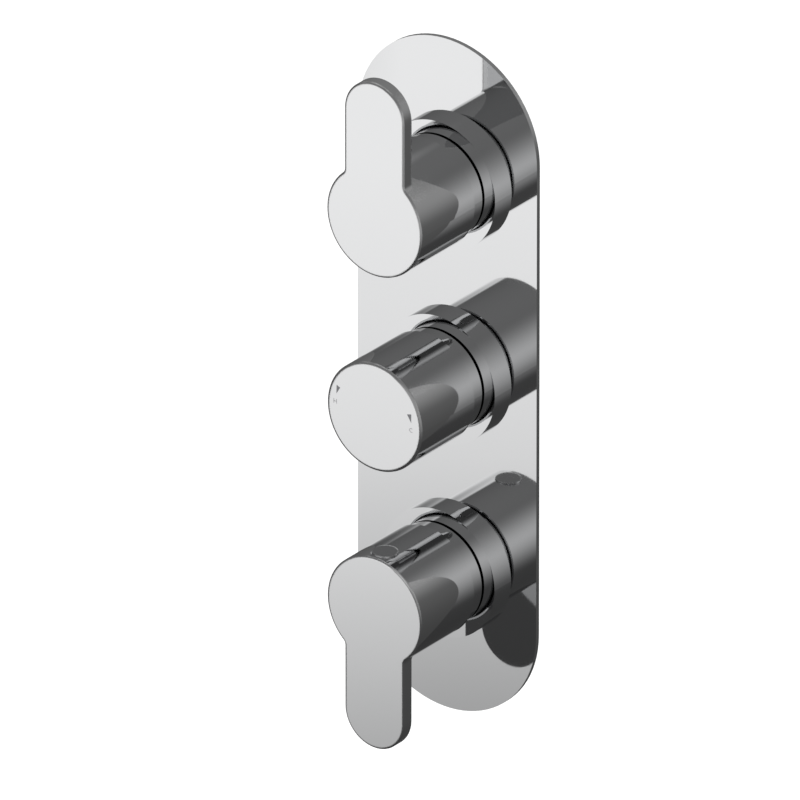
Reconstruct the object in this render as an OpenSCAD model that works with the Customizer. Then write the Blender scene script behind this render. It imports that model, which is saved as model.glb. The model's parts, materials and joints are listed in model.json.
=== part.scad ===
// Concealed thermostatic shower valve with three controls on one face plate.
// Frame: +Z up, the front faces -Y, +X is to the right as one stands before it.
// The origin is the centre of the flat back of the brass body, set in the wall.
// A station's own axes: X to the right, Y up, Z out of the wall towards the user.
// Depths named ..._at are counted along that Z, from the finished wall.

/* [Face plate] */
// Width of the face plate
plate_w = 90; // [80:1:110]
// Height of the face plate, round ends included
plate_h = 300; // [290:1:340]
// Thickness of the face plate
plate_t = 2; // [1.6:0.1:4]
// Distance from one control to the next
control_pitch = 87; // [84:0.5:95]

/* [Collars] */
// Radius of the flat collar around each control
collar_r = 28.2; // [27:0.1:32]
// Height of the collar over the plate
collar_h = 5.6; // [4.5:0.1:8]
// Gap that lets a control turn over its collar
turn_gap = 0.8; // [0.4:0.05:1.1]

/* [Controls] */
// Radius of a control's barrel
barrel_r = 23.8; // [23.4:0.1:25]
// Length of the barrel, from its front face to the neck
barrel_l = 35.6; // [34:0.1:40]
// Radius of the narrower neck behind the barrel
neck_r = 22.4; // [22.1:0.1:23]
// Length of the neck
neck_l = 7; // [6:0.05:10]
// Bevel round the temperature knob's face
knob_bevel = 1.1; // [0.5:0.1:2]
// Bevel round the edge of a lever's face
lever_bevel = 0.8; // [0.3:0.1:1.5]

/* [Levers] */
// Width of a lever's blade
lever_w = 29.8; // [24:0.1:36]
// Reach of a lever, from its axis to the round tip
lever_reach = 62; // [56:0.5:80]
// Thickness of a lever's blade
lever_t = 5.2; // [4:0.1:7]
// Radius of the fillet between the blade and the barrel
lever_fillet = 3; // [1:0.1:6]

/* [Screw plugs] */
// Radius of the plug over each grub screw
plug_r = 5.3; // [4:0.1:6]
// Distance from a control's face to the plug's centre
plug_setback = 7.3; // [6.8:0.1:9]

/* [Brass body] */
// Depth of the body behind the finished wall
body_depth = 33; // [33:0.5:60]
// Radius of the thermostat's housing in the body
mixer_r = 20; // [19:0.5:24]
// Radius of the two flow valves' housings in the body
flow_r = 16; // [15.5:0.5:20]
// Radius of the pipe ports' bosses
port_r = 11.8; // [11.5:0.1:12.2]
// Radius of the pipe thread's bore, half inch
port_bore_r = 9.3; // [9:0.05:9.6]
// Depth of the pipe thread in a port
port_depth = 9.5; // [8:0.5:10]
// Distance from the centre line to an inlet's mouth
inlet_reach = 25.5; // [25.5:0.5:40]
// Distance from a flow valve's axis to its outlet's mouth
outlet_reach = 36; // [32:0.5:50]
// Distance between the fixing holes, left to right
fixing_w = 30; // [28:0.5:36]
// Distance between the fixing holes, low to high
fixing_h = 90; // [84:0.5:92]
// Radius of a fixing hole
fixing_r = 2.6; // [2:0.1:3]

/* [Hidden] */
$fn = 72;

// Colours as the photograph and such valves show them
chrome_colour = [0.80, 0.80, 0.81];
brass_colour = [0.78, 0.62, 0.34];
rubber_colour = [0.10, 0.10, 0.11];
plastic_colour = [0.88, 0.88, 0.85];
ceramic_colour = [0.95, 0.94, 0.90];
steel_colour = [0.62, 0.63, 0.65];
stop_colour = [0.75, 0.20, 0.18];

// Fits
overrun = 1;
shaft_fit = 0.08;
seat_fit = 0.1;
free_gap = 0.4;
touch = 0.05;

// Depths along a control, from the finished wall
collar_at = plate_t;
collar_front_at = collar_at + collar_h;
neck_at = collar_front_at + turn_gap;
barrel_at = neck_at + neck_l;
face_at = barrel_at + barrel_l;

// Inside of a control
neck_wall = 1.6;
cavity_r = neck_r - neck_wall;
front_wall = 4;
bevel_depth_share = 0.6;
cavity_end_at = face_at - front_wall;
hub_r = 10;
hub_cover = 1.2;
hub_foot_at = 29.7;
spline_teeth = 20;
spline_depth = 0.5;
adapter_r = 6.2;
adapter_l = 14.5;
plug_at = face_at - plug_setback;
plug_proud = 0.3;
plug_head = 1.5;
plug_stem_r = 2.2;
screw_r = 2.4;
screw_key_r = 1.3;
screw_key_depth = 2.2;
screw_l = 4;

// Sleeve and its seals
sleeve_wall = 1;
sleeve_r = cavity_r - free_gap - 0.5 * free_gap;
sleeve_bore_r = sleeve_r - sleeve_wall;
sleeve_end_at = 27;
nut_r = sleeve_bore_r - 0.5 * free_gap;
nut_foot_at = -1.5;
nut_lip = 2;
nut_hex_h = 4;
ring_r = 0.6;
ring_at = 4;
ring_fit = 0.03;
groove_floor_r = sleeve_bore_r - ring_fit - 2 * ring_r;
collar_ring_mid_r = 24;
collar_ring_r = 0.7;

// Face plate's gasket, in a groove of the plate's back
gasket_w = 3;
gasket_inset = 3;
gasket_t = 1;

// Back of the body, and its necks, which pass through the plate
back_wall = 2.6;
body_front_at = -2;
neck_end_at = 6;
flange_t = 2;
mixer_neck_r = 16.9;
flow_neck_r = 13;

// Thermostatic cartridge
mixer_bore_r = 15.1;
mixer_case_r = 14.9;
mixer_wall = 1.9;
mixer_foot_at = -22;
mixer_chamber_r = 11;
chamber_at = back_wall - body_depth;
mixer_nose_r = 8.6;
mixer_nose_end_at = 27.5;
spindle_r = 4.5;
spindle_flange_r = 8;
spindle_flange_t = 2;
spindle_flange_at = 4;
spindle_stem_r = 3.6;
spindle_stem_l = 6.4;
cup_r = 9;
cup_at = -6.6;
cup_h = 8.4;
cup_roof = 2.2;
cup_bore_r = 5.6;
cup_key_w = 3;
cup_key_reach = 1.2;
clip_inset = 0.5;
clip_at = cup_at + clip_inset;
clip_t = 0.6;
clip_groove = 0.5;
clip_inner_r = 4.4;
clip_gap = 3;
piston_at = clip_at + clip_t + touch;
piston_t = 1;
shuttle_travel = 1;
shuttle_t = 5;
shuttle_at = -13;
shuttle_web_t = 2;
shuttle_hub_r = 6;
shuttle_port_r = 2;
shuttle_ports = 6;
window_w = 8;
wax_r = 4;
wax_l = 11;
wax_at = shuttle_at + shuttle_t + touch - wax_l;
wax_collar_r = 5;
wax_collar_t = 1.2;
pin_r = 1.4;
case_ring_r = 0.7;
case_ring_step = 9.5;
case_ring_setback = 1.9;
stop_r = 13.4;
stop_t = 2.6;
stop_h = 5;
stop_inner_r = 11;
turn_limit = 120;
lug_half = 10;
lug_clear = 1;
lug_r = 13;

// Springs: mean radius, wire radius, turns
return_spring_r = 8.2;
return_wire_r = 0.6;
return_turns = 2.5;
override_spring_r = 4.3;
override_wire_r = 0.45;
override_turns = 3;
wire_sides = 8;
steps_per_turn = 20;

// Flow cartridges
flow_bore_r = 11.1;
flow_case_r = 11;
flow_case_bore_r = 9.7;
flow_foot_at = -21.4;
flow_chamber_r = 7;
flow_nose_r = 7.4;
flow_nose_end_at = 21;
flow_spindle_r = 4;
flow_roof_at = -7;
driver_r = 8.6;
driver_t = 3.4;
disc_r = 9;
disc_t = 3;
driver_at = flow_roof_at - driver_t - seat_fit;
moving_disc_at = driver_at - touch - disc_t;
fixed_disc_at = moving_disc_at - touch - disc_t;
port_ring_r = 7.4;
port_core_r = 2.4;
port_half = 38;
dog_w = 3;
dog_l = 14;
dog_h = 1.2;
flow_window_w = 8;
quarter_turn = 90;
stop_wall_h = 3;
tab_half = 14;
tab_inner_share = 0.5;

// Waterways and lugs of the body
port_axis_at = -14;
outlet_axis_at = -15;
outlet_boss_r = 12.6;
spine_bore_r = 3.9;
spine_r = spine_bore_r + back_wall;
spine_axis_at = spine_r + free_gap - body_depth;
hot_way_at = -15;
cold_way_at = -6.6;
way_r = 2.8;
way_annulus = 1.4;
outlet_way_r = 4.5;
lug_t = 4;
lug_r_out = 5;
rib_t = 4;
rib_reach = 9;

// Places a control's own axes on the wall: Z out of the wall, Y up
module station(row) {
  translate([0, -body_depth, row * control_pitch]) rotate([90, 0, 0]) children();
}
module lift(at) {
  translate([0, 0, at]) children();
}
// Points out of a control's side, downwards at turn 0
module radial(at, turn = 0) {
  rotate([0, 0, turn]) translate([0, 0, at]) rotate([90, 0, 0]) children();
}
module ring(outer, inner, height) {
  difference() {
    cylinder(r = outer, h = height);
    translate([0, 0, -overrun]) cylinder(r = inner, h = height + 2 * overrun);
  }
}
module o_ring(mid, section) {
  rotate_extrude() translate([mid, 0]) circle(r = section, $fn = 24);
}
module sector(outer, inner, half, height) {
  // A slice of a ring, centred on its own +Y, up to a half turn wide
  far = outer / cos(half / 2);
  intersection() {
    ring(outer, inner, height);
    linear_extrude(height) polygon([
      [0, 0],
      [far * sin(half), far * cos(half)],
      [far * sin(half / 2), far * cos(half / 2)],
      [0, far],
      [-far * sin(half / 2), far * cos(half / 2)],
      [-far * sin(half), far * cos(half)]
    ]);
  }
}
function spline_outline(r) =
  [for (i = [0 : 2 * spline_teeth - 1])
    let (turn = i * 180 / spline_teeth, reach = r - (i % 2) * spline_depth)
    [reach * cos(turn), reach * sin(turn)]];
module spline_bar(r, length) {
  linear_extrude(length) polygon(spline_outline(r));
}

// A wire spring along Z, one unbroken tube with flat ends
function spring_ring(mid, wire, rise, turn) =
  [for (k = [0 : wire_sides - 1])
    let (a = k * 360 / wire_sides, reach = mid + wire * cos(a))
    [reach * cos(turn), reach * sin(turn), rise + wire * sin(a)]];
module spring(mid, wire, turns, height) {
  steps = turns * steps_per_turn;
  points = [for (s = [0 : steps])
    each spring_ring(mid, wire, wire + (height - 2 * wire) * s / steps, s * 360 / steps_per_turn)];
  sides = [for (s = [0 : steps - 1], k = [0 : wire_sides - 1])
    let (a = s * wire_sides + k, b = s * wire_sides + (k + 1) % wire_sides)
    each [[a, b, b + wire_sides], [a, b + wire_sides, a + wire_sides]]];
  start_cap = [for (k = [1 : wire_sides - 2]) [0, k + 1, k]];
  base = steps * wire_sides;
  end_cap = [for (k = [1 : wire_sides - 2]) [base, base + k, base + k + 1]];
  polyhedron(points = points, faces = concat(start_cap, sides, end_cap), convexity = 10);
}

// Trim on the wall
module pill_plate(width, height, thickness) {
  for (side = [-1, 1]) translate([0, side * (height - width) / 2, 0]) cylinder(d = width, h = thickness);
  translate([-width / 2, -(height - width) / 2, 0]) cube([width, height - width, thickness]);
}
module gasket_ring(extra) {
  outer_w = plate_w - 2 * gasket_inset + 2 * extra;
  outer_h = plate_h - 2 * gasket_inset + 2 * extra;
  narrow = 2 * gasket_w + 4 * extra;
  difference() {
    pill_plate(outer_w, outer_h, gasket_t + extra);
    lift(-overrun) pill_plate(outer_w - narrow, outer_h - narrow, gasket_t + 2 * overrun);
  }
}
module face_plate() {
  color(chrome_colour) station(0) difference() {
    pill_plate(plate_w, plate_h, plate_t);
    for (row = [-1, 0, 1]) translate([0, row * control_pitch, -overrun])
      cylinder(r = sleeve_r + seat_fit, h = plate_t + 2 * overrun);
    gasket_ring(seat_fit);
  }
}
module plate_gasket() {
  color(rubber_colour) station(0) gasket_ring(0);
}
module collar(row) {
  color(chrome_colour) station(row) lift(collar_at) difference() {
    ring(collar_r, sleeve_r + seat_fit, collar_h);
    o_ring(collar_ring_mid_r, collar_ring_r + 2 * ring_fit);
  }
}
module collar_seals() {
  color(rubber_colour) for (row = [-1, 0, 1]) station(row) lift(collar_at + ring_fit) intersection() {
    o_ring(collar_ring_mid_r, collar_ring_r);
    cylinder(r = collar_r, h = collar_h);
  }
}
module sleeve(row) {
  color(chrome_colour) station(row) lift(body_front_at)
    ring(sleeve_r, sleeve_bore_r, sleeve_end_at - body_front_at);
}
module sleeve_seals() {
  color(rubber_colour) for (row = [-1, 0, 1]) station(row) lift(ring_at)
    o_ring(groove_floor_r + ring_r, ring_r);
}

// Controls
module barrel(bevel) {
  rotate_extrude() polygon([
    [0, neck_at], [neck_r, neck_at], [neck_r, barrel_at], [barrel_r, barrel_at],
    [barrel_r, face_at - bevel * bevel_depth_share], [barrel_r - bevel, face_at], [0, face_at]
  ]);
}
module blade() {
  half = lever_w / 2;
  tip = lever_reach - half;
  root_x = half + lever_fillet;
  root_y = sqrt(pow(barrel_r + lever_fillet, 2) - pow(root_x, 2));
  back = face_at - lever_t;
  shoulder = face_at - lever_bevel * bevel_depth_share;
  // Straight part, cut from its cross section
  rotate([-90, 0, 0]) linear_extrude(tip) polygon([
    [-half, -back], [-half, -shoulder], [lever_bevel - half, -face_at],
    [half - lever_bevel, -face_at], [half, -shoulder], [half, -back]
  ]);
  // Round tip
  translate([0, tip, 0]) rotate_extrude() polygon([
    [0, back], [half, back], [half, shoulder], [half - lever_bevel, face_at], [0, face_at]
  ]);
  // Fillets to the barrel, their edge bevelled as the rest is
  for (side = [0, 1]) mirror([side, 0, 0]) difference() {
    lift(back) linear_extrude(lever_t) polygon([[0, 0], [root_x, root_y], [0, root_y]]);
    translate([root_x, root_y, 0]) rotate_extrude() polygon([
      [0, back - overrun], [lever_fillet, back - overrun], [lever_fillet, shoulder],
      [lever_fillet + lever_bevel, face_at], [lever_fillet + lever_bevel, face_at + overrun],
      [0, face_at + overrun]
    ]);
  }
}
module hub() {
  difference() {
    lift(hub_foot_at) cylinder(r = hub_r, h = cavity_end_at - hub_foot_at + overrun);
    lift(hub_foot_at - overrun) spline_bar(adapter_r + seat_fit, cavity_end_at - hub_foot_at);
  }
}
module control(bevel, plug_turn) {
  difference() {
    union() {
      difference() {
        union() {
          barrel(bevel);
          children();
        }
        lift(neck_at - overrun) cylinder(r = cavity_r, h = cavity_end_at - neck_at + overrun);
      }
      hub();
    }
    // Seat of the plug, way of the key and thread of the grub screw
    radial(plug_at, plug_turn) {
      lift(barrel_r - plug_head + plug_proud - seat_fit) cylinder(r = plug_r + seat_fit, h = barrel_r);
      cylinder(r = plug_stem_r + seat_fit, h = barrel_r);
      cylinder(r = screw_r + seat_fit, h = hub_r + overrun);
    }
  }
}
module lever(row) {
  color(chrome_colour) station(row) rotate([0, 0, row < 0 ? 180 : 0])
    control(lever_bevel, 0) blade();
}
module temperature_knob() {
  color(chrome_colour) station(0) {
    control(knob_bevel, 0);
    // Lug that meets the stop ring at either end of the turn
    lift(hub_foot_at) sector(lug_r, hub_r - seat_fit, lug_half, cavity_end_at - hub_foot_at + seat_fit);
  }
}
module screw_plug(row) {
  head_from = barrel_r + plug_proud - plug_head;
  color(chrome_colour) station(row) radial(plug_at, row < 0 ? 180 : 0) {
    lift(head_from) cylinder(r = plug_r, h = plug_head);
    lift(cavity_r) cylinder(r = plug_stem_r, h = head_from - cavity_r);
  }
}
module grub_screw(row) {
  color(steel_colour) station(row) radial(plug_at, row < 0 ? 180 : 0) lift(adapter_r + touch) difference() {
    cylinder(r = screw_r, h = screw_l);
    lift(screw_l - screw_key_depth) cylinder(r = screw_key_r, h = screw_key_depth + overrun, $fn = 6);
  }
}
module adapter(row, bore_r) {
  from = cavity_end_at - hub_cover - adapter_l;
  color(brass_colour) station(row) lift(from) difference() {
    spline_bar(adapter_r, adapter_l);
    lift(-overrun) spline_bar(bore_r, adapter_l - hub_cover + overrun);
  }
}

// Brass body
module across(at, side, from, to, r) {
  lift(at) rotate([0, side * 90, 0]) lift(from) cylinder(r = r, h = to - from);
}
module upward(at, side, from, to, r) {
  lift(at) rotate([-side * 90, 0, 0]) lift(from) cylinder(r = r, h = to - from);
}
module valve_body() {
  mouth = control_pitch + outlet_reach;
  color(brass_colour) station(0) difference() {
    union() {
      lift(-body_depth) cylinder(r = mixer_r, h = body_depth + body_front_at);
      lift(body_front_at - overrun) cylinder(r = mixer_neck_r, h = neck_end_at - body_front_at + overrun);
      for (side = [-1, 1]) {
        across(port_axis_at, side, 0, inlet_reach, port_r);
        translate([0, side * control_pitch, 0]) {
          lift(-body_depth) cylinder(r = flow_r, h = body_depth + body_front_at);
          lift(body_front_at - overrun) cylinder(r = flow_neck_r, h = neck_end_at - body_front_at + overrun);
        }
        upward(outlet_axis_at, side, control_pitch, mouth, outlet_boss_r);
        upward(spine_axis_at, side, 0, control_pitch, spine_r);
        fixing_lug(side);
        stiffening_rib(side);
      }
    }
    // Bore, chamber and ways of the thermostat
    lift(mixer_foot_at) cylinder(r = mixer_bore_r, h = neck_end_at - mixer_foot_at + overrun);
    lift(chamber_at) cylinder(r = mixer_chamber_r, h = mixer_foot_at - chamber_at + overrun);
    for (at = [hot_way_at, cold_way_at]) lift(at - way_r)
      cylinder(r = mixer_bore_r + way_annulus, h = 2 * way_r);
    for (side = [-1, 1]) {
      across(port_axis_at, side, inlet_reach - port_depth, inlet_reach + overrun, port_bore_r);
      across(side < 0 ? hot_way_at : cold_way_at, side, 0, inlet_reach - port_depth + overrun, way_r);
      upward(spine_axis_at, side, 0, control_pitch, spine_bore_r);
      translate([0, side * control_pitch, 0]) {
        lift(flow_foot_at) cylinder(r = flow_bore_r, h = neck_end_at - flow_foot_at + overrun);
        lift(chamber_at) cylinder(r = flow_chamber_r, h = flow_foot_at - chamber_at + overrun);
      }
      upward(outlet_axis_at, side, mouth - port_depth - overrun, mouth + overrun, port_bore_r);
      upward(outlet_axis_at, side, control_pitch, mouth - port_depth, outlet_way_r);
      for (hand = [-1, 1]) translate([hand * fixing_w / 2, side * fixing_h / 2, -body_depth - overrun])
        cylinder(r = fixing_r, h = lug_t + 2 * overrun);
    }
  }
}
module fixing_lug(side) {
  translate([0, side * fixing_h / 2, -body_depth]) {
    for (hand = [-1, 1]) translate([hand * fixing_w / 2, 0, 0]) cylinder(r = lug_r_out, h = lug_t);
    translate([-fixing_w / 2, -lug_r_out, 0]) cube([fixing_w, 2 * lug_r_out, lug_t]);
  }
}
module stiffening_rib(side) {
  // Cast web along the spine, between the housings
  translate([-rib_t / 2, side < 0 ? -control_pitch : 0, spine_axis_at])
    cube([rib_t, control_pitch, spine_r + rib_reach]);
}

// Thermostatic cartridge
module mixer_housing() {
  bore_r = mixer_case_r - mixer_wall;
  roof_at = spindle_flange_at + spindle_flange_t + 0.5 * free_gap;
  color(plastic_colour) station(0) difference() {
    union() {
      lift(mixer_foot_at + seat_fit) cylinder(r = mixer_case_r, h = neck_end_at - mixer_foot_at);
      lift(neck_end_at) cylinder(r = mixer_neck_r, h = flange_t);
      lift(neck_end_at) cylinder(r = mixer_nose_r, h = mixer_nose_end_at - neck_end_at);
    }
    // Working bore, with a foot that carries the return spring
    lift(wax_at - wax_collar_t) cylinder(r = bore_r, h = roof_at - wax_at + wax_collar_t);
    lift(mixer_foot_at - overrun)
      cylinder(r = shuttle_hub_r, h = wax_at - wax_collar_t - mixer_foot_at + 2 * overrun);
    lift(roof_at - overrun) cylinder(r = spindle_r + shaft_fit, h = mixer_nose_end_at);
    // Hot and cold windows, and the grooves of the three seals
    for (at = [shuttle_at, shuttle_at + shuttle_t], turn = [30 : 60 : 150])
      lift(at - shuttle_travel) rotate([0, 0, turn]) translate([-window_w / 2, -mixer_bore_r, 0])
      cube([window_w, 2 * mixer_bore_r, 2 * shuttle_travel]);
    case_rings(case_ring_r + ring_fit);
    // Keyways of the lift cup
    lift(cup_at - shuttle_travel - seat_fit) for (turn = [0, 180]) rotate([0, 0, turn])
      translate([-cup_key_w / 2 - seat_fit, bore_r - overrun, 0])
      cube([cup_key_w + 2 * seat_fit, overrun + cup_key_reach / 2,
        cup_h + 2 * shuttle_travel + 2 * seat_fit]);
  }
}
module case_rings(section) {
  middle_at = shuttle_at + shuttle_t / 2;
  for (at = [middle_at - case_ring_step, middle_at, neck_end_at - case_ring_setback])
    lift(at) o_ring(mixer_bore_r - case_ring_r, section);
}
module mixer_seals() {
  color(rubber_colour) station(0) case_rings(case_ring_r);
}
module gland_nut(row, neck_r_in, nose_r) {
  top = neck_end_at + flange_t + nut_lip;
  color(brass_colour) station(row) difference() {
    union() {
      lift(nut_foot_at) cylinder(r = nut_r, h = top - nut_foot_at);
      lift(top) cylinder(r = neck_r_in, h = nut_hex_h, $fn = 6);
    }
    lift(nut_foot_at - overrun)
      cylinder(r = neck_r_in + seat_fit, h = top - nut_lip - nut_foot_at + overrun);
    lift(nut_foot_at) cylinder(r = nose_r + free_gap, h = top + nut_hex_h - nut_foot_at + overrun);
    lift(ring_at) o_ring(groove_floor_r + ring_r, ring_r + ring_fit);
    lift(ring_at - ring_r) ring(nut_r + overrun, groove_floor_r + ring_r, 2 * ring_r);
  }
}
module stop_ring() {
  from = mixer_nose_end_at - stop_t;
  half = 180 - turn_limit - lug_half - lug_clear;
  color(stop_colour) station(0) lift(from) {
    ring(stop_r, mixer_nose_r + seat_fit, stop_t);
    lift(stop_t) rotate([0, 0, 180]) sector(stop_r, stop_inner_r, half, stop_h);
  }
}
module adjuster_spindle() {
  end_at = cavity_end_at - 2 * hub_cover - free_gap;
  color(brass_colour) station(0) {
    lift(spindle_flange_at - spindle_stem_l) cylinder(r = spindle_stem_r, h = spindle_stem_l);
    lift(spindle_flange_at) cylinder(r = spindle_flange_r, h = spindle_flange_t);
    lift(spindle_flange_at + spindle_flange_t)
      cylinder(r = spindle_r, h = mixer_nose_end_at - spindle_flange_at - spindle_flange_t);
    lift(mixer_nose_end_at - touch)
      spline_bar(spindle_r - seat_fit, end_at - mixer_nose_end_at + touch);
  }
}
module lift_cup() {
  bore_r = mixer_case_r - mixer_wall;
  color(brass_colour) station(0) lift(cup_at) difference() {
    union() {
      cylinder(r = cup_r, h = cup_h);
      for (turn = [0, 180]) rotate([0, 0, turn]) translate([-cup_key_w / 2, 0, 0])
        cube([cup_key_w, bore_r + cup_key_reach / 2 - seat_fit, cup_h]);
    }
    lift(-overrun) cylinder(r = cup_bore_r, h = cup_h - cup_roof + overrun);
    lift(-overrun) cylinder(r = spindle_stem_r + shaft_fit, h = cup_h + 2 * overrun);
    lift(clip_at - cup_at - touch) cylinder(r = cup_bore_r + clip_groove, h = clip_t + 2 * touch);
  }
}
module wax_element() {
  color(brass_colour) station(0) {
    lift(wax_at) cylinder(r = wax_r, h = wax_l);
    lift(wax_at + wax_l) cylinder(r = wax_collar_r, h = wax_collar_t);
    lift(wax_at + wax_l + wax_collar_t)
      cylinder(r = pin_r, h = piston_at - touch - wax_at - wax_l - wax_collar_t);
  }
}
module override_piston() {
  color(brass_colour) station(0) lift(piston_at) cylinder(r = cup_bore_r - seat_fit, h = piston_t);
}
module piston_clip() {
  color(steel_colour) station(0) lift(clip_at) difference() {
    ring(cup_bore_r + clip_groove - seat_fit, clip_inner_r, clip_t);
    translate([-clip_gap / 2, 0, -overrun]) cube([clip_gap, 2 * cup_bore_r, clip_t + 2 * overrun]);
  }
}
module override_spring() {
  from = piston_at + piston_t;
  color(steel_colour) station(0) lift(from)
    spring(override_spring_r, override_wire_r, override_turns, cup_at + cup_h - cup_roof - from);
}
module shuttle() {
  rim_r = mixer_case_r - mixer_wall - shaft_fit;
  color(steel_colour) station(0) lift(shuttle_at) difference() {
    union() {
      ring(rim_r, rim_r - shuttle_web_t, shuttle_t);
      cylinder(r = rim_r - shuttle_web_t + seat_fit, h = shuttle_web_t);
      cylinder(r = shuttle_hub_r, h = shuttle_t);
    }
    lift(-overrun) cylinder(r = wax_r + seat_fit, h = shuttle_t + 2 * overrun);
    for (k = [0 : shuttle_ports - 1]) rotate([0, 0, (k + 0.5) * 360 / shuttle_ports])
      translate([(shuttle_hub_r + rim_r - shuttle_web_t) / 2, 0, -overrun])
      cylinder(r = shuttle_port_r, h = shuttle_web_t + 2 * overrun);
  }
}
module return_spring() {
  from = wax_at - wax_collar_t;
  color(steel_colour) station(0) lift(from)
    spring(return_spring_r, return_wire_r, return_turns, shuttle_at - from);
}

// Flow cartridges, both alike
module flow_housing(row) {
  case_top = neck_end_at + flange_t;
  color(plastic_colour) station(row) difference() {
    union() {
      lift(flow_foot_at + seat_fit) cylinder(r = flow_case_r, h = neck_end_at - flow_foot_at);
      lift(neck_end_at) cylinder(r = flow_neck_r, h = flange_t);
      lift(case_top) cylinder(r = flow_nose_r, h = flow_nose_end_at - case_top);
      // Wall that stops the spindle's tab at either end of its quarter turn
      lift(flow_nose_end_at) rotate([0, 0, 180 + quarter_turn / 2]) stop_wall();
    }
    lift(flow_foot_at) cylinder(r = flow_case_bore_r, h = flow_roof_at - flow_foot_at);
    lift(flow_foot_at)
      cylinder(r = flow_spindle_r + shaft_fit, h = flow_nose_end_at + stop_wall_h - flow_foot_at + overrun);
    lift(moving_disc_at) for (turn = [0, 90]) rotate([0, 0, turn])
      translate([-flow_window_w / 2, -flow_bore_r, 0]) cube([flow_window_w, 2 * flow_bore_r, disc_t]);
  }
}
module stop_wall() {
  half = (360 - quarter_turn - 2 * tab_half - 2 * lug_clear) / 2;
  inner = flow_spindle_r + free_gap;
  rotate([0, 0, half / 2]) sector(flow_nose_r, inner, half / 2, stop_wall_h);
  rotate([0, 0, -half / 2]) sector(flow_nose_r, inner, half / 2, stop_wall_h);
}
module flow_spindle(row) {
  end_at = cavity_end_at - 2 * hub_cover - free_gap;
  shaft_end_at = flow_nose_end_at + free_gap / 2;
  tab_h = stop_wall_h - free_gap / 2;
  color(brass_colour) station(row) {
    lift(driver_at) cylinder(r = driver_r, h = driver_t);
    lift(driver_at - dog_h) translate([-dog_w / 2, -dog_l / 2, 0]) cube([dog_w, dog_l, dog_h + overrun]);
    lift(driver_at + driver_t) cylinder(r = flow_spindle_r, h = shaft_end_at - driver_at - driver_t);
    lift(shaft_end_at) sector(flow_nose_r, flow_spindle_r * tab_inner_share, tab_half, tab_h);
    lift(shaft_end_at) cylinder(r = flow_spindle_r, h = tab_h);
    lift(shaft_end_at + tab_h - touch)
      spline_bar(flow_spindle_r - seat_fit, end_at - shaft_end_at - tab_h + touch);
  }
}
module port_pair(reach, height) {
  for (turn = [0, 180]) rotate([0, 0, turn]) sector(reach, port_core_r, port_half, height);
}
module moving_disc(row) {
  color(ceramic_colour) station(row) lift(moving_disc_at) difference() {
    cylinder(r = disc_r, h = disc_t);
    lift(-overrun) rotate([0, 0, 90]) port_pair(disc_r + overrun, disc_t + 2 * overrun);
    lift(disc_t - dog_h - touch) translate([-dog_w / 2 - seat_fit, -disc_r - overrun, 0])
      cube([dog_w + 2 * seat_fit, 2 * disc_r + 2 * overrun, dog_h + overrun]);
  }
}
module fixed_disc(row) {
  color(ceramic_colour) station(row) lift(fixed_disc_at) difference() {
    cylinder(r = flow_case_bore_r - seat_fit, h = disc_t);
    lift(-overrun) port_pair(port_ring_r, disc_t + 2 * overrun);
  }
}
module port_seal(row) {
  height = fixed_disc_at - flow_foot_at;
  color(rubber_colour) station(row) lift(flow_foot_at) difference() {
    cylinder(r = flow_case_bore_r - seat_fit, h = height);
    lift(-overrun) port_pair(port_ring_r, height + 2 * overrun);
  }
}

face_plate();
plate_gasket();
collar(1);  // upper_collar
collar(0);  // middle_collar
collar(-1);  // lower_collar
collar_seals();
sleeve(1);  // upper_sleeve
sleeve(0);  // middle_sleeve
sleeve(-1);  // lower_sleeve
sleeve_seals();
lever(1);  // upper_lever
temperature_knob();
lever(-1);  // lower_lever
screw_plug(1);  // upper_screw_plug
screw_plug(0);  // temperature_screw_plug
screw_plug(-1);  // lower_screw_plug
grub_screw(1);  // upper_grub_screw
grub_screw(0);  // temperature_grub_screw
grub_screw(-1);  // lower_grub_screw
adapter(1, flow_spindle_r);  // upper_adapter
adapter(0, spindle_r);  // temperature_adapter
adapter(-1, flow_spindle_r);  // lower_adapter
valve_body();
mixer_housing();
gland_nut(0, mixer_neck_r, mixer_nose_r);  // mixer_nut
mixer_seals();
stop_ring();
adjuster_spindle();
lift_cup();
override_spring();
override_piston();
piston_clip();
wax_element();
shuttle();
return_spring();
flow_housing(1);  // upper_flow_housing
gland_nut(1, flow_neck_r, flow_nose_r);  // upper_flow_nut
flow_spindle(1);  // upper_flow_spindle
moving_disc(1);  // upper_moving_disc
fixed_disc(1);  // upper_fixed_disc
port_seal(1);  // upper_port_seal
flow_housing(-1);  // lower_flow_housing
gland_nut(-1, flow_neck_r, flow_nose_r);  // lower_flow_nut
flow_spindle(-1);  // lower_flow_spindle
moving_disc(-1);  // lower_moving_disc
fixed_disc(-1);  // lower_fixed_disc
port_seal(-1);  // lower_port_seal
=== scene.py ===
# %% [markdown]
# # A concealed thermostatic shower valve
# The solids arrive from the CAD step in the right places, so this lesson only dresses
# them: metals, rubber and plastics, the printed marks on the knob, the pipe threads,
# and a small studio. Chrome has hardly a colour of its own, so most of its look is
# what it mirrors. That is why the studio takes up as much of the lesson as the metal.

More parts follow.
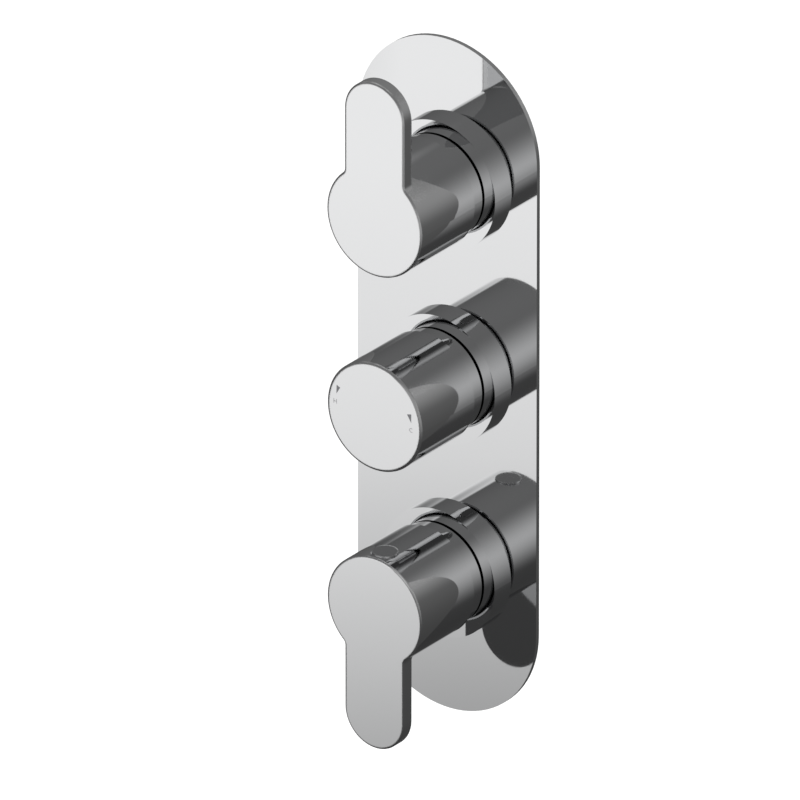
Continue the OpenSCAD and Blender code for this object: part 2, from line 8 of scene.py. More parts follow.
# %% Load the frame
import json
import math
import bpy
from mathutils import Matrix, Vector


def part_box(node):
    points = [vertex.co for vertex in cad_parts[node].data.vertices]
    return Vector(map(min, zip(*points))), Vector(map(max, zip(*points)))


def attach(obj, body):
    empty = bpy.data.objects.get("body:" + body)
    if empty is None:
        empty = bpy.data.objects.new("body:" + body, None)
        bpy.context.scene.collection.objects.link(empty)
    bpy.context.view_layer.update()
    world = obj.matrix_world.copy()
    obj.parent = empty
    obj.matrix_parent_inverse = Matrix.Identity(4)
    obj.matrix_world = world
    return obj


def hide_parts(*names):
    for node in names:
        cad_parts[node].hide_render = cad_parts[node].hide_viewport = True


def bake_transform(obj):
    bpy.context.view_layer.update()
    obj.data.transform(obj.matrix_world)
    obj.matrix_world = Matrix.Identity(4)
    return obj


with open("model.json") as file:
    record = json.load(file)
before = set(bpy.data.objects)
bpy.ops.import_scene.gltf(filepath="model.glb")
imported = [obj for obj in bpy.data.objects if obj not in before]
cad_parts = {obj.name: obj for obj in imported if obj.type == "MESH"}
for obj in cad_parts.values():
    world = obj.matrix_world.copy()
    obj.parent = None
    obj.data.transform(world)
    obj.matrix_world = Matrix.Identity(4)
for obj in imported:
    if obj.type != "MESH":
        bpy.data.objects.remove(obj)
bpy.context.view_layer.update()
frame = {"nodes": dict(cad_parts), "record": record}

MM = 0.001

# %% [markdown]
# ## Where the parts are
# Blender works in metres, and so does this script. The solids' own boxes give the
# places, so the script follows the CAD when a size changes there. The face of the knob
# is the front of the whole valve, and the plate's box gives the wall.

# %% Measure the frame
knob_low, knob_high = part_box("temperature_knob")
plate_low, plate_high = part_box("face_plate")
face_y = knob_low[1]
wall_y = plate_high[1]
plate_front_y = plate_low[1]
plate_centre = Vector((0, plate_front_y, 0))
knob_r = (knob_high[0] - knob_low[0]) / 2
print("knob radius %.2f mm, face %.1f mm off the wall" % (knob_r / MM, (wall_y - face_y) / MM))

# %% [markdown]
# ## Camera
# The photograph looks at the valve from the right and from above. The plate's two long
# edges stay parallel in it, which takes either a camera far away or a lens that is
# shifted. A camera far away is the simpler one and needs no shift: a lens of one and a
# half metres, 13 metres from the valve. The scale and the place of the plate's centre
# in the picture are measured in the photograph, and the aim follows from them.

# %% Direction and distance
PHOTO_SIZE = 800
PIXELS_PER_MM = 2.478
PLATE_CENTRE_PX = (447.0, 374.5)
AZIMUTH = math.radians(36.8)
ELEVATION = math.radians(26.1)
LENS_MM = 1500.0
SENSOR_MM = 36.0

right = Vector((math.cos(AZIMUTH), math.sin(AZIMUTH), 0))
back = Vector((math.sin(AZIMUTH) * math.cos(ELEVATION),
               -math.cos(AZIMUTH) * math.cos(ELEVATION), math.sin(ELEVATION)))
up = back.cross(right)
distance = LENS_MM * PHOTO_SIZE / SENSOR_MM / PIXELS_PER_MM * MM
px_right = (PLATE_CENTRE_PX[0] - PHOTO_SIZE / 2) / PIXELS_PER_MM * MM
px_up = (PHOTO_SIZE / 2 - PLATE_CENTRE_PX[1]) / PIXELS_PER_MM * MM
aim = plate_centre - right * px_right - up * px_up
print("aim at", [round(v / MM, 1) for v in aim], "mm")

# %% Make the camera
FARTHEST_SEEN = 60              # metres

scene = bpy.context.scene
camera_data = bpy.data.cameras.new("camera")
camera_data.lens = LENS_MM
camera_data.sensor_width = SENSOR_MM
camera_data.clip_end = FARTHEST_SEEN
camera = bpy.data.objects.new("camera", camera_data)
scene.collection.objects.link(camera)
camera.location = aim + back * distance
camera.rotation_euler = back.to_track_quat("Z", "Y").to_euler()
scene.camera = camera
print("camera %.2f m away" % distance)

# %% [markdown]
# ## Helpers for materials
# Each material is a Principled shader with a few nodes in front of it. Painted or
# photographed textures would need unwrapped surfaces and would blur close up. Noise
# needs neither. It drives colour, roughness and bump, always in object coordinates, so
# the grain has a real size in millimetres and moves with its piece.

# %% Materials, nodes and sums
def new_material(name, **values):
    """A material with its Principled shader, sockets set by name."""
    material = bpy.data.materials.new(name)
    material.use_nodes = True
    shader = material.node_tree.nodes["Principled BSDF"]
    for socket, value in values.items():
        shader.inputs[socket.replace("_", " ")].default_value = value
    return material, material.node_tree, shader


def add_node(tree, kind, **settings):
    """A node with its sockets and properties set by name."""
    node = tree.nodes.new(kind)
    for name, value in settings.items():
        if name in node.inputs:
            node.inputs[name].default_value = value
        else:
            setattr(node, name, value)
    return node


def sum_of(tree, operation, first, second):
    """A Math node: each input is another node's output, and the second may be a number."""
    node = add_node(tree, "ShaderNodeMath", operation=operation)
    tree.links.new(first, node.inputs[0])
    if isinstance(second, float):
        node.inputs[1].default_value = second
    else:
        tree.links.new(second, node.inputs[1])
    return node.outputs[0]


# %% Places and noise
NOISE_LOW, NOISE_HIGH = 0.3, 0.7


def place_in_mm(tree, stretch=(1, 1, 1)):
    """Object coordinates, counted in millimetres."""
    where = add_node(tree, "ShaderNodeTexCoord")
    scale = add_node(tree, "ShaderNodeMapping")
    scale.inputs["Scale"].default_value = [s / MM for s in stretch]
    tree.links.new(where.outputs["Object"], scale.inputs["Vector"])
    return scale.outputs["Vector"]


def noise(tree, place, size_mm, detail=3.0, roughness=0.5):
    """Noise whose grain is about size_mm across."""
    node = add_node(tree, "ShaderNodeTexNoise", Scale=1.0 / size_mm, Detail=detail, Roughness=roughness)
    tree.links.new(place, node.inputs["Vector"])
    return node.outputs["Fac"]


def spread(tree, value, low, high):
    """Noise stays mostly between 0.3 and 0.7. This maps that range onto low to high."""
    node = add_node(tree, "ShaderNodeMapRange")
    limits = (("From Min", NOISE_LOW), ("From Max", NOISE_HIGH), ("To Min", low), ("To Max", high))
    for name, number in limits:
        node.inputs[name].default_value = number
    tree.links.new(value, node.inputs["Value"])
    return node.outputs["Result"]


# %% Colour, relief and dressing
MIX_FIRST, MIX_SECOND, MIX_RESULT = 6, 7, 2    # the colour sockets of a Mix node


def blend_colours(tree, factor, first, second):
    """From the first colour to the second, by factor."""
    node = add_node(tree, "ShaderNodeMix", data_type="RGBA")
    for socket, colour in ((MIX_FIRST, first), (MIX_SECOND, second)):
        node.inputs[socket].default_value = (*colour, 1)
    tree.links.new(factor, node.inputs[0])
    return node.outputs[MIX_RESULT]


def bump(tree, shader, height, depth_mm, normal=None):
    """Relief of depth_mm where the height runs from 0 to 1, on top of a normal."""
    node = add_node(tree, "ShaderNodeBump", Strength=1.0, Distance=depth_mm * MM)
    tree.links.new(height, node.inputs["Height"])
    if normal is not None:
        tree.links.new(normal, node.inputs["Normal"])
    tree.links.new(node.outputs["Normal"], shader.inputs["Normal"])


def nodes_in_slot(slot):
    """The CAD nodes that the record gives this finish."""
    return [row["node"] for row in frame["record"]["subparts"] if row["material_slot"] == slot]


def dress(material, *names):
    """Gives CAD nodes this material. Their meshes stay as they are."""
    for name in names:
        for slot in frame["nodes"][name].material_slots:
            slot.link = "OBJECT"
            slot.material = material
    print(material.name, "on", len(names), "nodes")


# %% [markdown]
# ## Chrome
# The trim is brass, polished and then plated with nickel and a very thin layer of
# chromium. Chromium throws back only about two thirds of the light, so each further
# mirror image is clearly darker: a reflection of a reflection is at less than half.
# A perfectly smooth metal looks drawn, so the polish varies a little: wide, faint clouds
# in the roughness from hand polishing, and a wave of a few thousandths of a millimetre.
#
# Two places on the controls need more. The steps that face the wall close behind a control,
# apart from a narrow rim, are painted near black and dull: painted shade for the deep
# shade in the gap there. They make the black crescents at the foot of each control. And
# the polishing wheel rounds the edges of the fronts, which then catch a line of light.
# Cutting either into the meshes would need new solids. A mask and a Bevel node do it in the shader.

# %% Zones of a control
STEPS_LIE_WITHIN = 0.030        # metres in front of the plate
# Only this narrow rim of each step stays bright chrome. The rest gets painted shade.
UNSHADED_RIM_MM = 0.75
FACES_THE_WALL = 0.9            # the least share of the normal that points at the wall
EDGE_RADIUS_MM = 0.7
EDGE_SAMPLES = 4
steps_from_y_mm = (plate_front_y - STEPS_LIE_WITHIN) / MM
pitch_mm = frame["record"]["behaviour"]["joints"][0]["pos_m"][2] / MM
print("controls every %.1f mm, dull steps behind y = %.1f mm" % (pitch_mm, steps_from_y_mm))


def split(tree, vector):
    """The three parts of a vector."""
    node = add_node(tree, "ShaderNodeSeparateXYZ")
    tree.links.new(vector, node.inputs[0])
    return node.outputs


def from_nearest_axis(tree, x, z):
    """Distance in mm from the nearest control's axis. Snapping finds its row."""
    row = sum_of(tree, "SNAP", sum_of(tree, "ADD", z, pitch_mm / 2), pitch_mm)
    flat = add_node(tree, "ShaderNodeCombineXYZ")
    tree.links.new(x, flat.inputs["X"])
    tree.links.new(sum_of(tree, "SUBTRACT", z, row), flat.inputs["Z"])
    radius = add_node(tree, "ShaderNodeVectorMath", operation="LENGTH")
    tree.links.new(flat.outputs[0], radius.inputs[0])
    return radius.outputs["Value"]


def painted_shade_on_steps(tree, x, y, z):
    """Painted shade mask: 1 on a step that faces the wall, near it and inside the bright rim, and 0
    elsewhere.
    """
    normal = split(tree, add_node(tree, "ShaderNodeTexCoord").outputs["Normal"])
    near = sum_of(tree, "GREATER_THAN", y, steps_from_y_mm)
    facing = sum_of(tree, "GREATER_THAN", normal["Y"], FACES_THE_WALL)
    inside = sum_of(tree, "LESS_THAN", from_nearest_axis(tree, x, z), knob_r / MM - UNSHADED_RIM_MM)
    return sum_of(tree, "MULTIPLY", sum_of(tree, "MULTIPLY", near, facing), inside)


def rounded_fronts(tree, y):
    """Normals with soft edges in front of the steps. Farther back the edges stay sharp."""
    front = sum_of(tree, "LESS_THAN", y, steps_from_y_mm)
    rounded = add_node(tree, "ShaderNodeBevel", samples=EDGE_SAMPLES)
    tree.links.new(sum_of(tree, "MULTIPLY", front, EDGE_RADIUS_MM * MM), rounded.inputs["Radius"])
    return rounded.outputs["Normal"]


# %% Chrome
PLATED = (0.680, 0.683, 0.688)
PLATED_ROUGHNESS = (0.02, 0.05)
# The near-black colour and its roughness below are painted shade for the deep gap behind each control.
PAINTED_SHADE_COLOUR = (0.02, 0.02, 0.021)
PAINTED_SHADE_ROUGHNESS = 0.35
POLISH_CLOUDS_MM = 22.0
POLISH_WAVES_MM = 16.0
WAVE_DEPTH_MM = 0.004


def make_chrome():
    """Polished chrome, with painted shade on the steps and the rounded front edges."""
    material, tree, shader = new_material("polished_chrome", Metallic=1.0)
    place = place_in_mm(tree)
    x, y, z = split(tree, place)
    clouds = noise(tree, place, POLISH_CLOUDS_MM, detail=4.0)
    waves = noise(tree, place, POLISH_WAVES_MM, detail=1.0)
    bump(tree, shader, waves, WAVE_DEPTH_MM, normal=rounded_fronts(tree, y))
    # Painted shade: the steps behind each control turn near black and dull.
    painted_shade = painted_shade_on_steps(tree, x, y, z)
    tree.links.new(blend_colours(tree, painted_shade, PLATED, PAINTED_SHADE_COLOUR), shader.inputs["Base Color"])
    polish = spread(tree, clouds, *PLATED_ROUGHNESS)
    rough = sum_of(tree, "MAXIMUM", polish, sum_of(tree, "MULTIPLY", painted_shade, PAINTED_SHADE_ROUGHNESS))
    tree.links.new(rough, shader.inputs["Roughness"])
    return material


dress(make_chrome(), *nodes_in_slot("chrome"))

# %% [markdown]
# ## Brass and steel
# The body in the wall is a sand casting, blasted after casting: a fine pitted skin,
# duller and browner in the hollows. The nuts, spindles and adapters are turned from
# bar, so they are brighter and carry very fine rings round their axis. Turning marks
# could be an anisotropic shader. Real relief is simpler to bake: noise that is squeezed
# along the axis and drawn out across it gives rings without a regular beat.

# %% Cast brass
CAST_GRAIN_MM = 0.55
CAST_DEPTH_MM = 0.06
CAST_ROUGHNESS = (0.34, 0.52)
STAINS_MM = 14.0
STAINED = (0.52, 0.36, 0.16)
CLEAN = (0.76, 0.58, 0.31)


def make_cast_brass():
    """Brass as it leaves the sand mould and the blasting cabinet."""
    material, tree, shader = new_material("cast_brass", Metallic=1.0, Roughness=0.4)
    place = place_in_mm(tree)
    grain = noise(tree, place, CAST_GRAIN_MM, detail=4.0, roughness=0.65)
    stains = spread(tree, noise(tree, place, STAINS_MM, detail=5.0), 0.0, 1.0)
    tree.links.new(blend_colours(tree, stains, STAINED, CLEAN), shader.inputs["Base Color"])
    tree.links.new(spread(tree, grain, *CAST_ROUGHNESS), shader.inputs["Roughness"])
    bump(tree, shader, grain, CAST_DEPTH_MM)
    return material


dress(make_cast_brass(), *nodes_in_slot("cast_brass"))

# %% Turned brass and steel
RING_DEPTH_MM = 0.01
RING_STRETCH = 0.02             # noise runs on for 50 mm across the axis
TURNED_SHARES = (0.8, 1.3)      # how far the rings take the roughness down and up
TARNISH_MM = 6.0


def make_turned(name, dark, light, roughness, ring_mm):
    """Metal from the lathe: rings round Y, the direction of the controls' axes."""
    material, tree, shader = new_material(name, Metallic=1.0, Roughness=roughness)
    squeezed = place_in_mm(tree, (RING_STRETCH, 1.0 / ring_mm, RING_STRETCH))
    rings = noise(tree, squeezed, 1.0, detail=2.0)
    tarnish = spread(tree, noise(tree, place_in_mm(tree), TARNISH_MM, detail=3.0), 0.0, 1.0)
    tree.links.new(blend_colours(tree, tarnish, dark, light), shader.inputs["Base Color"])
    low, high = (roughness * share for share in TURNED_SHARES)
    tree.links.new(spread(tree, rings, low, high), shader.inputs["Roughness"])
    bump(tree, shader, rings, RING_DEPTH_MM)
    return material


turned_brass = make_turned("turned_brass", dark=(0.66, 0.48, 0.22), light=(0.80, 0.62, 0.33),
                           roughness=0.24, ring_mm=0.12)
bright_steel = make_turned("bright_steel", dark=(0.50, 0.51, 0.53), light=(0.64, 0.65, 0.67),
                           roughness=0.22, ring_mm=0.10)
dress(turned_brass, *nodes_in_slot("turned_brass"))
dress(bright_steel, *nodes_in_slot("steel"))

# %% [markdown]
# ## Rubber, plastics and ceramic
# Seals are black nitrile rubber with a soft sheen. The cartridge housings are glass
# filled nylon, which shows a faint flow pattern. The discs are lapped ceramic, so they
# are glossy with almost no texture. All four are a colour that drifts slowly and a fine
# grain, so one function makes them, and only the sizes and tones differ.

# %% Moulded and lapped parts
MOULDED_SHARES = (0.85, 1.15)   # how far the grain takes the roughness down and up
MOULDED = {
    "rubber": dict(name="black_rubber", dark=(0.022, 0.022, 0.024), light=(0.035, 0.035, 0.037),
                   roughness=0.55, grain_mm=0.3, relief_mm=0.02, cloud_mm=8.0),
    "white_plastic": dict(name="white_nylon", dark=(0.80, 0.80, 0.76), light=(0.86, 0.86, 0.83),
                          roughness=0.42, grain_mm=0.4, relief_mm=0.015, cloud_mm=9.0),
    "red_plastic": dict(name="red_nylon", dark=(0.52, 0.06, 0.045), light=(0.62, 0.08, 0.06),
                        roughness=0.40, grain_mm=0.4, relief_mm=0.015, cloud_mm=9.0),
    "ceramic": dict(name="lapped_ceramic", dark=(0.89, 0.88, 0.83), light=(0.93, 0.92, 0.87),
                    roughness=0.12, grain_mm=0.8, relief_mm=0.002, cloud_mm=12.0),
}


def make_moulded(name, dark, light, roughness, grain_mm, relief_mm, cloud_mm):
    """A plain material with a fine grain, whose tone drifts from dark to light."""
    material, tree, shader = new_material(name, Roughness=roughness)
    place = place_in_mm(tree)
    grain = noise(tree, place, grain_mm, detail=3.0)
    clouds = spread(tree, noise(tree, place, cloud_mm, detail=3.0), 0.0, 1.0)
    tree.links.new(blend_colours(tree, clouds, dark, light), shader.inputs["Base Color"])
    low, high = (roughness * share for share in MOULDED_SHARES)
    tree.links.new(spread(tree, grain, low, high), shader.inputs["Roughness"])
    bump(tree, shader, grain, relief_mm)
    return material


for slot, look in MOULDED.items():
    dress(make_moulded(**look), *nodes_in_slot(slot))

# %% [markdown]
# ## The return spring
# The return spring stands between the housing and the sliding shuttle. A rigid spring
# would pass through the shuttle when it slides, so a copy takes its place. The copy
# stands on its own with its place baked into its mesh, and the original is hidden.

# %% Return spring
spring = frame["nodes"]["return_spring"]
elastic = spring.copy()
elastic.data = spring.data.copy()
elastic.name = "elastic_return_spring"
elastic.parent = None
scene.collection.objects.link(elastic)
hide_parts("return_spring")
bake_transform(elastic)

# %% [markdown]
# ## Marks on the knob
# The knob carries the usual marks: turn the left side down for hot, H, and the right
# side down for cold, C, each with an arrowhead above it. They are printed on the flat
# face. A mask in the chrome could paint them, but edges this small blur when a material
# is baked. Flat meshes two hundredths of a millimetre thick stay sharp.

# %% A printed piece
PRINT_THICKNESS = 0.02 * MM


def add_mesh(name, verts, faces, material):
    """A new object in the scene, from points and faces, with one material."""
    mesh = bpy.data.meshes.new(name)
    mesh.from_pydata(verts, [], faces)
    mesh.update()
    mesh.materials.append(material)
    piece = bpy.data.objects.new(name, mesh)
    scene.collection.objects.link(piece)
    return piece


def flat_piece(name, outline, faces, material, body, slot):
    """A thin printed piece on the knob's face, from an outline in millimetres."""
    count = len(outline)
    verts = [(x * MM, face_y - PRINT_THICKNESS, z * MM) for x, z in outline]
    verts += [(x * MM, face_y, z * MM) for x, z in outline]
    front = [tuple(face) for face in faces]
    behind = [tuple(count + i for i in reversed(face)) for face in faces]
    edges = [pair for face in faces for pair in zip(face, face[1:] + face[:1])]
    sides = [(b, a, a + count, b + count) for a, b in edges if (b, a) not in edges]
    piece = add_mesh(name, verts, front + behind + sides, material)
    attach(piece, body)
    print(name, "with", len(piece.data.polygons), "faces")


# %% Ink
INK_GRAIN_MM = 0.25
THIN_INK = 1.25                 # how much lighter the ink is where it is thin


def make_print(name, colour):
    """Grey ink that is a little uneven."""
    material, tree, shader = new_material(name, Roughness=0.45, Base_Color=(*colour, 1))
    thin = spread(tree, noise(tree, place_in_mm(tree), INK_GRAIN_MM, detail=2.0), 0.0, 1.0)
    tone = blend_colours(tree, thin, colour, [v * THIN_INK for v in colour])
    tree.links.new(tone, shader.inputs["Base Color"])
    return material


arrow_ink = make_print("arrow_print", (0.20, 0.20, 0.21))
letter_ink = make_print("letter_print", (0.42, 0.42, 0.43))
print("inks:", arrow_ink.name, "and", letter_ink.name)

# %% Arrowheads
KNOB_BODY = "temperature_control"
HOT_ARROWHEAD = [(-18.9, 9.1), (-19.0, 5.15), (-17.1, 8.25)]
COLD_ARROWHEAD = [(16.5, 6.2), (18.6, 2.8), (18.6, 6.75)]

flat_piece("hot_arrowhead", HOT_ARROWHEAD, [[0, 1, 2]], arrow_ink, KNOB_BODY, "rubber")
flat_piece("cold_arrowhead", COLD_ARROWHEAD, [[0, 1, 2]], arrow_ink, KNOB_BODY, "rubber")

# %% Letters
HOT_LETTER_AT = (-19.65, 1.6)
COLD_LETTER_AT = (18.6, -0.4)


def letter_h(cx, cz, width=1.7, height=2.0, stroke=0.34):
    """Outline points and faces of a capital H."""
    w, h, s, b = width / 2, height / 2, stroke, stroke / 2
    points = [(-w, -h), (-w + s, -h), (-w + s, -b), (w - s, -b), (w - s, -h), (w, -h),
              (w, h), (w - s, h), (w - s, b), (-w + s, b), (-w + s, h), (-w, h)]
    faces = [[0, 1, 2, 9, 10, 11], [2, 3, 8, 9], [3, 4, 5, 6, 7, 8]]
    return [(cx + x, cz + z) for x, z in points], faces


def letter_c(cx, cz, radius=1.0, stroke=0.34, mouth=48, steps=20):
    """Outline points and faces of a capital C. Half of its mouth is given in degrees."""
    points, faces = [], []
    for i in range(steps + 1):
        angle = math.radians(mouth + (360 - 2 * mouth) * i / steps)
        for r in (radius, radius - stroke):
            points.append((cx + r * math.cos(angle), cz + r * math.sin(angle)))
    for i in range(steps):
        a = 2 * i
        faces.append([a, a + 2, a + 3, a + 1])
    return points, faces


flat_piece("hot_letter", *letter_h(*HOT_LETTER_AT), letter_ink, KNOB_BODY, "steel")
flat_piece("cold_letter", *letter_c(*COLD_LETTER_AT), letter_ink, KNOB_BODY, "steel")

# %% [markdown]
# ## Pipe threads
# The four ports have a half inch pipe thread: 14 turns to the inch, a pitch of 1.814
# mm. A bump map would not show at the mouth, where the ridges stand in profile. So a
# ridge with a triangular section is wound along the bore like a spring. Its foot is
# sunk a little into the brass, and it fades out over half a turn at both ends. The
# ridge is too small to show any grain, so it takes the plain brass that the frame
# brings along under the name turned_brass.

# %% Wind a thread into each port
THREAD_PITCH = 1.814
THREAD_RISE = 0.42
LEAST_RISE = 0.02
FOOT_SUNK = 0.05
FLANK_SHARE = 0.42              # half the width of the ridge's foot, in pitches
FIRST_MIDDLE = 0.5              # where the ridge starts, in pitches behind the mouth
FADE_TURNS = 0.5
STEPS_PER_TURN = 40


def thread_ridge(name, mouth, out, bore_r, depth, material):
    """A helical ridge inside a bore that opens at mouth, in the direction out. Sizes in mm."""
    out = Vector(out)
    side = Vector((0, 1, 0))
    over = out.cross(side)
    steps = int((depth - THREAD_PITCH) / THREAD_PITCH * STEPS_PER_TURN)
    verts, faces = [], []
    for i in range(steps + 1):
        turns = i / STEPS_PER_TURN
        fade = min(1.0, turns / FADE_TURNS, (steps - i) / STEPS_PER_TURN / FADE_TURNS)
        foot, crest = bore_r + FOOT_SUNK, bore_r - THREAD_RISE * fade - LEAST_RISE
        middle = -THREAD_PITCH * (FIRST_MIDDLE + turns)
        angle = 2 * math.pi * turns
        around = side * math.cos(angle) + over * math.sin(angle)
        for reach, shift in ((foot, -FLANK_SHARE), (crest, 0.0), (foot, FLANK_SHARE)):
            point = Vector(mouth) + (around * reach + out * (middle + shift * THREAD_PITCH)) * MM
            verts.append(tuple(point))
    for i in range(steps):
        a = 3 * i
        for k in range(3):
            faces.append((a + k, a + (k + 1) % 3, a + 3 + (k + 1) % 3, a + 3 + k))
    faces += [(2, 1, 0), (3 * steps, 3 * steps + 1, 3 * steps + 2)]
    piece = add_mesh(name, verts, faces, material)
    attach(piece, "fixed_assembly")
    print(name, "with %.1f turns" % (steps / STEPS_PER_TURN))


thread_metal = bpy.data.materials["turned_brass"]
for mount in frame["record"]["mounts"]:
    if mount["kind"] == "threaded_hole":
        thread_ridge(mount["name"] + "_thread", mount["pos_m"], mount["axis"],
                     mount["dims"]["r_mm"], mount["dims"]["length_mm"], thread_metal)

# %% [markdown]
# ## The studio: floor, world and lamps
# The floor lies well below, because the valve hangs on a wall. It is pale and catches
# the shadow. A white background could come from strong lamps, but they would wash out
# the valve. So the floor and the world are brighter only for rays that come from the
# camera, off a shiny surface or through a clear one. From below the floor is clear, so
# that it doesn't hide the valve.

# %% Rays that see the bright background
def camera_like(tree):
    """1 for rays from the camera, off shiny surfaces or through clear ones."""
    path = add_node(tree, "ShaderNodeLightPath")
    first = sum_of(tree, "MAXIMUM", path.outputs["Is Camera Ray"], path.outputs["Is Glossy Ray"])
    return sum_of(tree, "MAXIMUM", first, path.outputs["Is Transmission Ray"])


# %% Floor
FLOOR_Z = -1.2
FLOOR_HALF = 30
FLOOR_LIFT = 0.5


def make_floor_material():
    """Pale, matt and brighter to the camera, and clear on its underside."""
    material, tree, shader = new_material("pale_floor", Base_Color=(0.8, 0.8, 0.8, 1), Roughness=0.9)
    shader.inputs["Emission Color"].default_value = (1, 1, 1, 1)
    lift = sum_of(tree, "MULTIPLY", camera_like(tree), FLOOR_LIFT)
    tree.links.new(lift, shader.inputs["Emission Strength"])
    side = add_node(tree, "ShaderNodeNewGeometry")
    clear = add_node(tree, "ShaderNodeBsdfTransparent")
    either = add_node(tree, "ShaderNodeMixShader")
    tree.links.new(side.outputs["Backfacing"], either.inputs[0])
    tree.links.new(shader.outputs["BSDF"], either.inputs[1])
    tree.links.new(clear.outputs["BSDF"], either.inputs[2])
    tree.links.new(either.outputs["Shader"], tree.nodes["Material Output"].inputs["Surface"])
    return material


corners = [(x * FLOOR_HALF, y * FLOOR_HALF, FLOOR_Z) for x, y in ((-1, -1), (1, -1), (1, 1), (-1, 1))]
floor = add_mesh("floor", corners, [(0, 1, 2, 3)], make_floor_material())
print("floor %.1f m below the knob's axis" % -FLOOR_Z)

# %% World
AMBIENT = 0.7
BACKGROUND = 1.0

world = bpy.data.worlds.new("studio")
scene.world = world
world.use_nodes = True
tree = world.node_tree
background = tree.nodes["Background"]
background.inputs["Color"].default_value = (1, 1, 1, 1)
strength = add_node(tree, "ShaderNodeMapRange")
strength.inputs["To Min"].default_value = AMBIENT
strength.inputs["To Max"].default_value = BACKGROUND
tree.links.new(camera_like(tree), strength.inputs["Value"])
tree.links.new(strength.outputs["Result"], background.inputs["Strength"])
print("world at %.1f, and %.1f to the camera" % (AMBIENT, BACKGROUND))

# %% [markdown]
# Two large round lamps light the rubber, plastics and brass, and throw the shadow. The
# key lamp stands high on the left in front, and the back lamp high on the right behind.
# Chrome would show the key lamp as white rims, so it is hidden from reflections.

# %% Lamps
LAMP_SIZE = 0.9


def area_lamp(name, place, watts):
    """A round lamp that looks at the plate and isn't seen by the camera."""
    data = bpy.data.lights.new(name, "AREA")
    data.shape = "DISK"
    data.size = LAMP_SIZE
    data.energy = watts
    lamp = bpy.data.objects.new(name, data)
    scene.collection.objects.link(lamp)
    lamp.location = place
    lamp.rotation_euler = (Vector(place) - plate_centre).to_track_quat("Z", "Y").to_euler()
    lamp.visible_camera = False
    print(name, "of %d W at %s m" % (watts, place))
    return lamp


key_lamp = area_lamp("key_lamp", (-0.9, -0.5, 1.5), watts=14)
key_lamp.visible_glossy = False
area_lamp("back_lamp", (0.8, 1.3, 1.0), watts=12)

# %% [markdown]
# ## The studio: what the chrome mirrors
# A photographer tents chrome: the object stands inside dark cloth, with a few soft
# white cards. Lamps for each card would add light to everything else as well. So the
# tent here is a glowing sphere that only reflections see, painted point by point.
#
# Each card is a spot on it with a direction, a size and a soft edge in degrees, and a
# brightness. The plate and the three faces all mirror one big card on the left in
# front, which fades towards its lower end. The barrels mirror a ring of directions, so
# they show the dark cloth and the narrow cards. The last five cards serve the other
# views, in which a valve among dark cloth alone would look black.

# %% Soft edges and short tables
def soft_step(x, edge, softness):
    """1 below the edge, 0 above it, with a smooth change across the softness."""
    t = min(1.0, max(0.0, (edge + softness / 2 - x) / softness))
    return t * t * (3 - 2 * t)


def degrees_between(a, b):
    """The angle between two unit vectors."""
    return math.degrees(math.acos(max(-1.0, min(1.0, a.dot(b)))))


def read_table(table, x):
    """A value from a short table of (position, value), straight between its rows."""
    if x <= table[0][0]:
        return table[0][1]
    for (x0, v0), (x1, v1) in zip(table, table[1:]):
        if x <= x1:
            return v0 + (v1 - v0) * (x - x0) / (x1 - x0)
    return table[-1][1]


# %% Cloth and cards
# Tables run over the height of a direction, from -1 straight down to 1 straight up
CLOTH = [(-1.0, 0.05), (-0.5, 0.09), (0.0, 0.14), (0.5, 0.21), (1.0, 0.26)]
BIG_CARD = [(-0.80, 0.25), (-0.66, 0.55), (-0.58, 0.76), (-0.50, 0.95), (-0.40, 1.07), (-0.20, 1.17)]
# Each of its edges: the direction that it cuts off, where, and how softly
BIG_CARD_EDGES = [
    ((1, 0, 0), -0.30, 0.06),
    ((-1, 0, 0), 0.68, 0.12),
    ((0, 0, 1), 0.14, 0.08),
    ((0, 1, 0), -0.25, 0.06),
]
CARDS = [
    ("top box", (-0.35, -0.35, 1.0), 14, 12, 0.9),
    ("left box", (-1.0, -0.1, 0.3), 22, 12, 0.12),
    ("right card", (0.72, -0.69, 0.035), 20, 46, 0.74),
    ("right rear card", (0.55, 0.72, 0.42), 14, 36, 0.38),
    ("left rear card", (-0.638, 0.729, -0.247), 3.8, 2, 0.85),
    ("overhead strip", (0.15, 0.0, 1.0), 12, 10, 0.9),
    ("right strip", (0.9, 0.05, 0.4), 9, 8, 0.8),
    ("left strip", (-0.75, 0.1, 0.7), 9, 8, 0.6),
    ("rear card", (0.1, 1.0, 0.1), 24, 14, 0.6),
    ("front card", (0.0, -1.0, 0.05), 14, 18, 0.75),
]


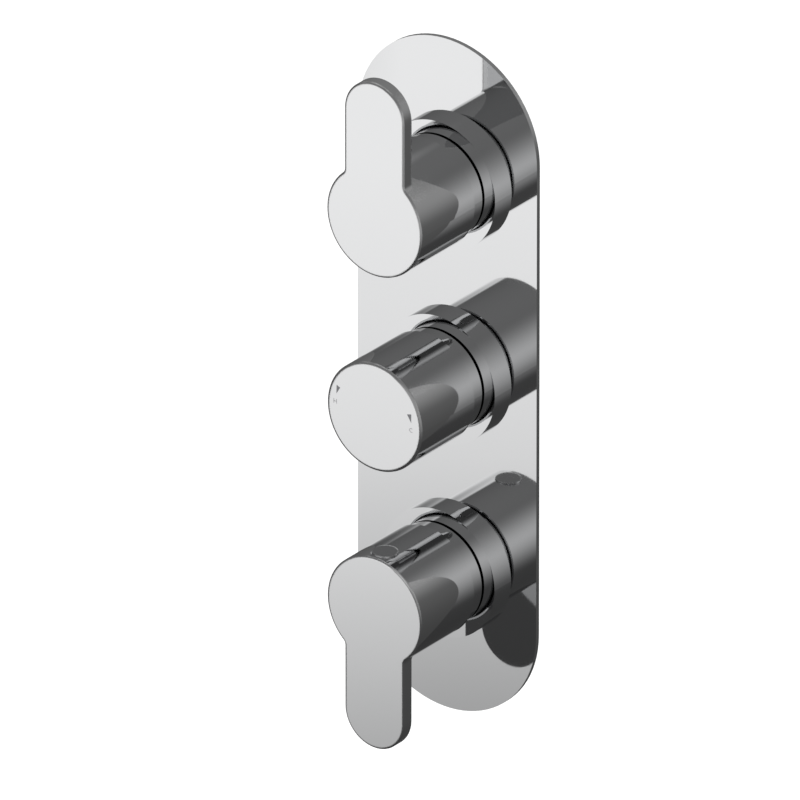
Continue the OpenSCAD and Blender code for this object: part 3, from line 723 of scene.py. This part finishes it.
def tent_level(u):
    """Brightness of the tent in the direction u: the cloth, with each card laid over it."""
    level = read_table(CLOTH, u.z)
    for _, centre, size, softness, bright in CARDS:
        share = soft_step(degrees_between(u, Vector(centre).normalized()), size, softness)
        level = level * (1 - share) + bright * share
    share = 1.0
    for axis, edge, softness in BIG_CARD_EDGES:
        share *= soft_step(u.dot(Vector(axis)), edge, softness)
    return level * (1 - share) + read_table(BIG_CARD, u.z) * share


print("straight up %.2f, straight ahead of the plate %.2f"
      % (tent_level(Vector((0, 0, 1))), tent_level(Vector((0, -1, 0)))))

# %% Tent
TENT_RADIUS = 0.5
TENT_RINGS = 120
TENT_SECTORS = 240


def make_cloth():
    """A material that glows with the colour painted on each point."""
    material, tree, shader = new_material("tent_cloth")
    tree.nodes.remove(shader)
    light = add_node(tree, "ShaderNodeEmission", Strength=1.0)
    paint = add_node(tree, "ShaderNodeVertexColor", layer_name="glow")
    tree.links.new(paint.outputs["Color"], light.inputs["Color"])
    tree.links.new(light.outputs["Emission"], tree.nodes["Material Output"].inputs["Surface"])
    return material


def make_tent():
    """A sphere round the plate's centre, seen in reflections only."""
    verts, faces, levels = [], [], []
    for i in range(TENT_RINGS + 1):
        polar = math.pi * i / TENT_RINGS
        for j in range(TENT_SECTORS):
            turn = 2 * math.pi * j / TENT_SECTORS
            u = Vector((math.sin(polar) * math.cos(turn), math.sin(polar) * math.sin(turn), math.cos(polar)))
            verts.append(tuple(plate_centre + u * TENT_RADIUS))
            levels.append(tent_level(u))
    for i in range(TENT_RINGS):
        for j in range(TENT_SECTORS):
            k = (j + 1) % TENT_SECTORS
            this_ring, next_ring = i * TENT_SECTORS, (i + 1) * TENT_SECTORS
            faces.append((this_ring + j, next_ring + j, next_ring + k, this_ring + k))
    tent = add_mesh("tent", verts, faces, make_cloth())
    glow = tent.data.color_attributes.new("glow", "FLOAT_COLOR", "POINT")
    glow.data.foreach_set("color", [c for v in levels for c in (v, v, v, 1.0)])
    tent.visible_camera = False
    tent.visible_diffuse = False
    tent.visible_shadow = False
    tent.visible_transmission = False
    return tent


tent = make_tent()
print("tent of %.1f m, %d soft cards" % (TENT_RADIUS, len(CARDS) + 1))

# %% [markdown]
# ## Finish
# The view transform is Standard, so a colour renders as it is written.

# %% Finish
scene.view_settings.view_transform = "Standard"
